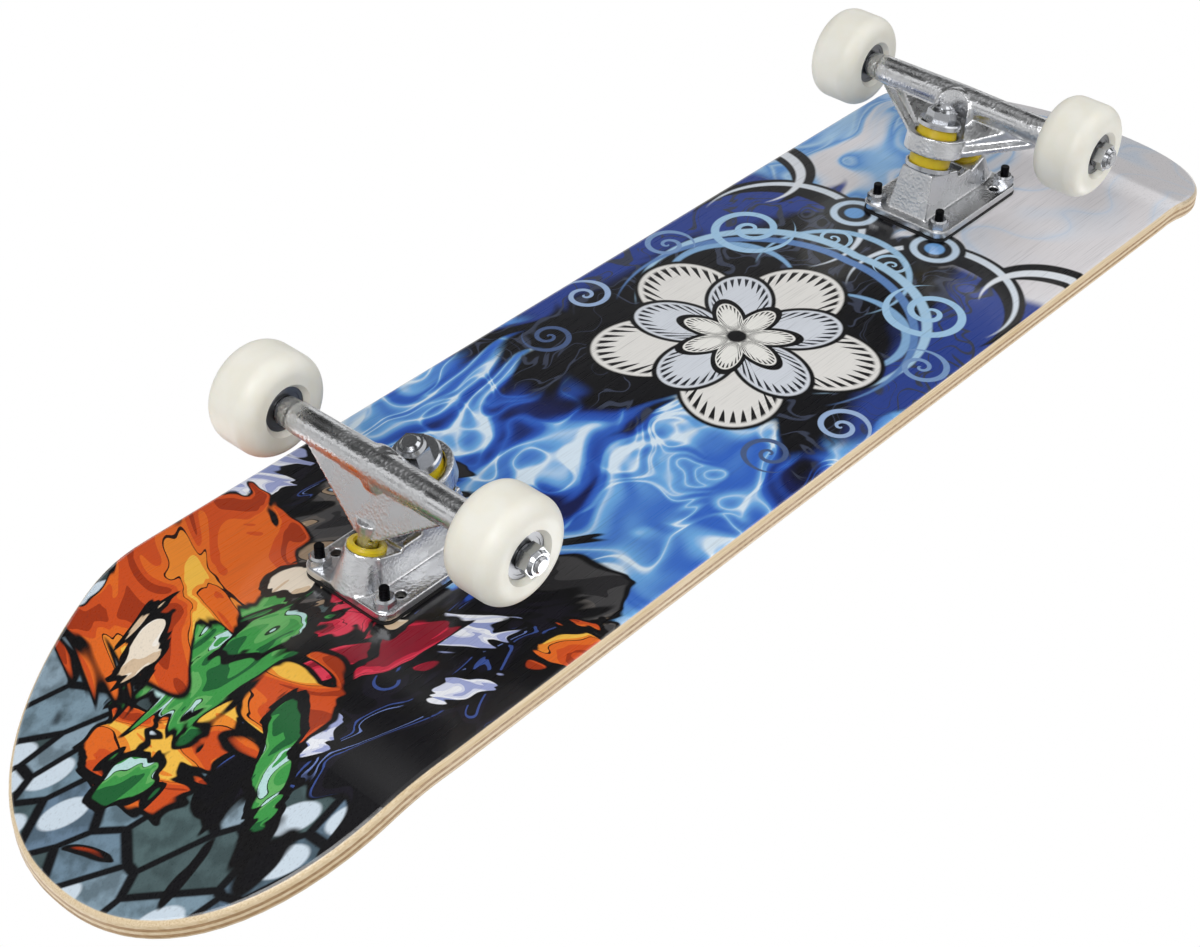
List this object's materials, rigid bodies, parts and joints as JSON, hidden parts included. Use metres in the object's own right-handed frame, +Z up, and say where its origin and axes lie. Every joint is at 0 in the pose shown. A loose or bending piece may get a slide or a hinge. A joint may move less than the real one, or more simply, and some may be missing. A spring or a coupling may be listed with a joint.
{
  "type": "skateboard",
  "caption": "Double-kick skateboard: laminated maple deck with grip tape, two sprung steering trucks and urethane wheels that roll on ball bearings.",
  "frame": {"origin": "centre of the footprint on the ground between the four wheels", "axes": "+X towards the nose, +Y to the left, +Z up; the board stands on its wheels"},
  "size_m": [0.82, 0.2, 0.1455],
  "materials": {
    "bottom_face_ply": "printed face veneer under clear lacquer, gloss",
    "maple_long": "raw sealed maple edge",
    "maple_cross": "raw sealed maple edge, darker cross grain",
    "maple_top": "raw sealed maple",
    "grip_tape": "black abrasive grit",
    "riser_rubber": "matt black",
    "cast_aluminium": "tumbled casting, bright on the ridges",
    "amber_urethane": "translucent amber, satin",
    "zinc_steel": "bright zinc plate",
    "black_steel": "black oxide",
    "axle_steel": "turned steel",
    "bearing_steel": "polished",
    "wheel_urethane": "off-white cast urethane, satin"
  },
  "bodies": {
    "deck": {"core_ply_4": "maple_long", "cross_ply_3": "maple_cross", "cross_ply_5": "maple_cross", "face_ply": "bottom_face_ply", "front_baseplate": "cast_aluminium", "front_kingpin": "zinc_steel", "front_kingpin_nut": "zinc_steel", "front_lower_bushing": "amber_urethane", "front_lower_washer": "zinc_steel", "front_mounting_bolts": "black_steel", "front_mounting_nuts": "zinc_steel", "front_pivot_cup": "amber_urethane", "front_riser_pad": "riser_rubber", "front_upper_bushing": "amber_urethane", "front_upper_washer": "zinc_steel", "grip_tape": "grip_tape", "long_ply_2": "maple_long", "long_ply_6": "maple_long", "rear_baseplate": "cast_aluminium", "rear_kingpin": "zinc_steel", "rear_kingpin_nut": "zinc_steel", "rear_lower_bushing": "amber_urethane", "rear_lower_washer": "zinc_steel", "rear_mounting_bolts": "black_steel", "rear_mounting_nuts": "zinc_steel", "rear_pivot_cup": "amber_urethane", "rear_riser_pad": "riser_rubber", "rear_upper_bushing": "amber_urethane", "rear_upper_washer": "zinc_steel", "top_ply": "maple_top"},
    "front_axle_unit": {"front_axle": "axle_steel", "front_axle_nuts": "zinc_steel", "front_bearing_inner_rings": "bearing_steel", "front_bearing_spacers": "axle_steel", "front_hanger": "cast_aluminium", "front_speed_washers": "zinc_steel"},
    "rear_axle_unit": {"rear_axle": "axle_steel", "rear_axle_nuts": "zinc_steel", "rear_bearing_inner_rings": "bearing_steel", "rear_bearing_spacers": "axle_steel", "rear_hanger": "cast_aluminium", "rear_speed_washers": "zinc_steel"},
    "front_left_roller": {"front_left_bearing_balls": "bearing_steel", "front_left_bearing_outer_rings": "bearing_steel", "front_left_bearing_shields": "bearing_steel", "front_left_wheel": "wheel_urethane"},
    "front_right_roller": {"front_right_bearing_balls": "bearing_steel", "front_right_bearing_outer_rings": "bearing_steel", "front_right_bearing_shields": "bearing_steel", "front_right_wheel": "wheel_urethane"},
    "rear_left_roller": {"rear_left_bearing_balls": "bearing_steel", "rear_left_bearing_outer_rings": "bearing_steel", "rear_left_bearing_shields": "bearing_steel", "rear_left_wheel": "wheel_urethane"},
    "rear_right_roller": {"rear_right_bearing_balls": "bearing_steel", "rear_right_bearing_outer_rings": "bearing_steel", "rear_right_bearing_shields": "bearing_steel", "rear_right_wheel": "wheel_urethane"}
  },
  "joints": [
    {"name": "front_steer", "type": "hinge", "parent": "deck", "child": "front_axle_unit", "pos_m": [0.2309, 0, 0.06605], "axis": [0.8259, 0, 0.5638], "range_deg": [-12, 12], "stiffness_Nm_per_rad": 30, "deforming": ["front_lower_bushing", "front_upper_bushing", "front_pivot_cup"]},
    {"name": "rear_steer", "type": "hinge", "parent": "deck", "child": "rear_axle_unit", "pos_m": [-0.2309, 0, 0.06605], "axis": [-0.8259, 0, 0.5638], "range_deg": [-12, 12], "stiffness_Nm_per_rad": 30, "deforming": ["rear_lower_bushing", "rear_upper_bushing", "rear_pivot_cup"]},
    {"name": "front_left_spin", "type": "hinge", "parent": "front_axle_unit", "child": "front_left_roller", "pos_m": [0.219, 0.0735, 0.0255], "axis": [0, 1, 0], "continuous": true},
    {"name": "front_right_spin", "type": "hinge", "parent": "front_axle_unit", "child": "front_right_roller", "pos_m": [0.219, -0.0735, 0.0255], "axis": [0, 1, 0], "continuous": true},
    {"name": "rear_left_spin", "type": "hinge", "parent": "rear_axle_unit", "child": "rear_left_roller", "pos_m": [-0.219, 0.0735, 0.0255], "axis": [0, 1, 0], "continuous": true},
    {"name": "rear_right_spin", "type": "hinge", "parent": "rear_axle_unit", "child": "rear_right_roller", "pos_m": [-0.219, -0.0735, 0.0255], "axis": [0, 1, 0], "continuous": true}
  ]
}
